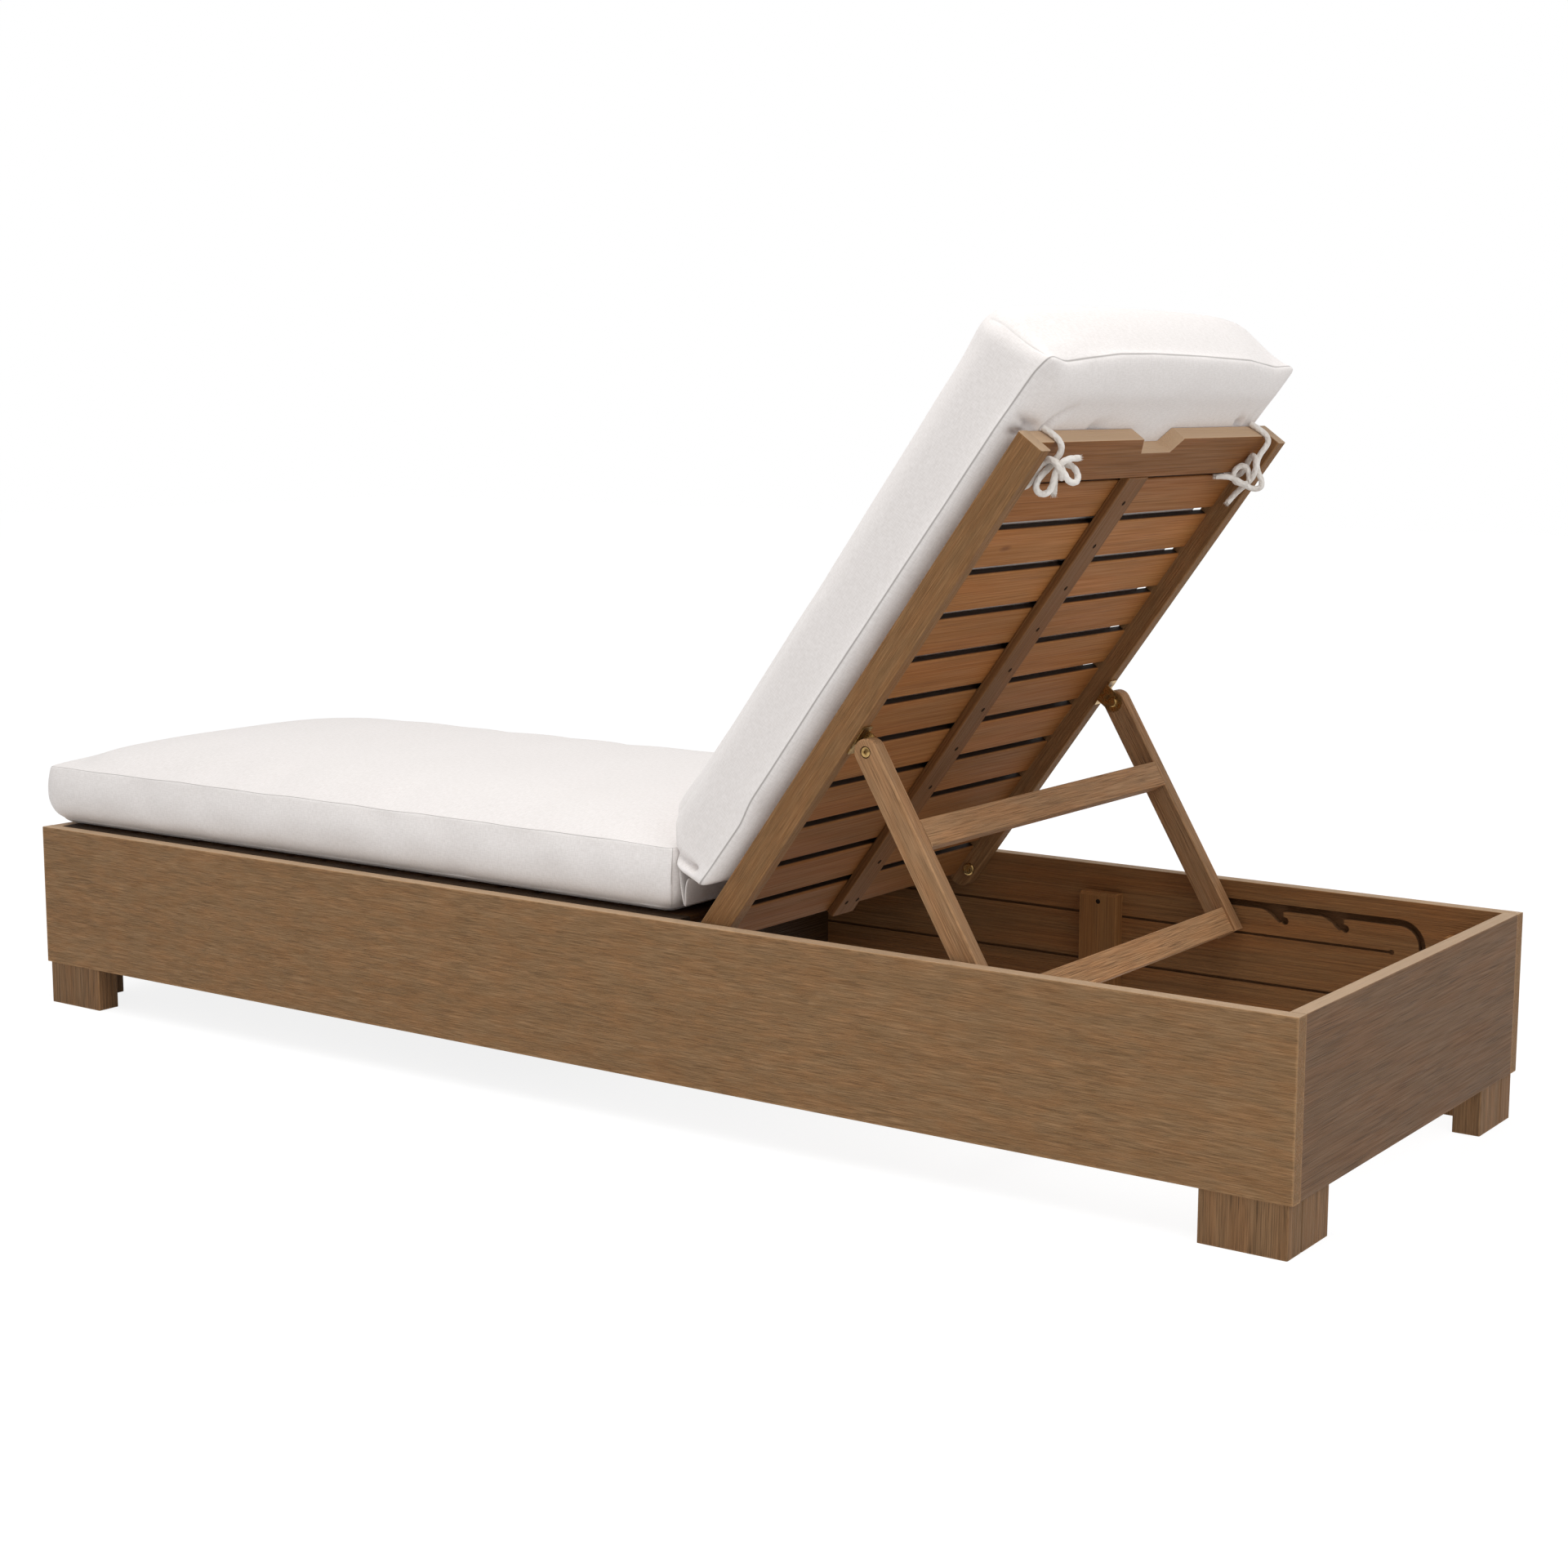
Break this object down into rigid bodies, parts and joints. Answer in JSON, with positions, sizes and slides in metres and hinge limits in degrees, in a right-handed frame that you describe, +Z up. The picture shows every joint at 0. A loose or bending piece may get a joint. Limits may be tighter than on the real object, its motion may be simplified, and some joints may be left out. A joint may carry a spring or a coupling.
{
  "type": "chaise longue",
  "caption": "Outdoor wooden box-frame chaise longue with slatted deck, folding backrest on a notched prop, and tied seat and back cushions.",
  "frame": {"origin": "on the ground under the middle of the box", "axes": "+X along the chaise to the raised head end, +Y to the sitter's right, +Z up"},
  "size_m": [2.041, 0.685, 1.0187],
  "materials": {
    "box_wood": "brushed, stained taupe brown, matt",
    "slat_wood": "planed and stained warm brown, satin",
    "brass": "yellow plated, slightly dulled",
    "cushion_cloth": "woven off-white outdoor cloth",
    "tie_cord": "round braided off-white cord"
  },
  "bodies": {
    "frame": {"box_screws": "brass", "corner_post_head_left": "box_wood", "corner_post_head_right": "box_wood", "corner_post_toe_left": "box_wood", "corner_post_toe_right": "box_wood", "cross_brace": "box_wood", "cushion_hinge": "cushion_cloth", "end_board_head": "box_wood", "end_board_toe": "box_wood", "foot_head_left": "box_wood", "foot_head_right": "box_wood", "foot_toe_left": "box_wood", "foot_toe_right": "box_wood", "ledger_left": "box_wood", "ledger_right": "box_wood", "pivot_bolts": "brass", "pivot_washers": "brass", "rest_cleat_left": "box_wood", "rest_cleat_right": "box_wood", "seat_cushion": "cushion_cloth", "seat_rail_left": "box_wood", "seat_rail_right": "box_wood", "seat_screws": "brass", "seat_slats": "slat_wood", "seat_stile": "slat_wood", "seat_toe_rail": "slat_wood", "side_board_left": "box_wood", "side_board_right": "box_wood"},
    "backrest": {"back_cushion": "cushion_cloth", "back_rail_left": "box_wood", "back_rail_right": "box_wood", "back_slat_01": "slat_wood", "back_slat_02": "slat_wood", "back_slat_03": "slat_wood", "back_slat_04": "slat_wood", "back_slat_05": "slat_wood", "back_slat_06": "slat_wood", "back_slat_07": "slat_wood", "back_slat_08": "slat_wood", "back_slat_09": "slat_wood", "back_slat_10": "slat_wood", "back_slat_11": "slat_wood", "back_stile": "slat_wood", "bracket_screws": "brass", "head_rail": "slat_wood", "prop_bolts": "brass", "prop_bracket_left": "brass", "prop_bracket_right": "brass", "stile_screws": "brass", "tie_knot_left": "tie_cord", "tie_knot_right": "tie_cord", "tie_left_over": "tie_cord", "tie_left_under": "tie_cord", "tie_right_over": "tie_cord", "tie_right_under": "tie_cord"},
    "prop": {"prop_leg_left": "box_wood", "prop_leg_right": "box_wood", "prop_pins": "brass", "prop_rail_lower": "box_wood", "prop_rail_upper": "box_wood"}
  },
  "joints": [
    {"name": "back_fold", "type": "hinge", "parent": "frame", "child": "backrest", "pos_m": [0.222, 0, 0.2435], "axis": [0, 1, 0], "range_deg": [0, 54]},
    {"name": "prop_swing", "type": "hinge", "parent": "backrest", "child": "prop", "pos_m": [0.44972, 0, 0.50079], "axis": [0, 1, 0], "range_deg": [-113.4, 0]}
  ],
  "couplings": [
    {"joint": "prop_swing", "follows": "back_fold", "ratio": -2.0994}
  ]
}
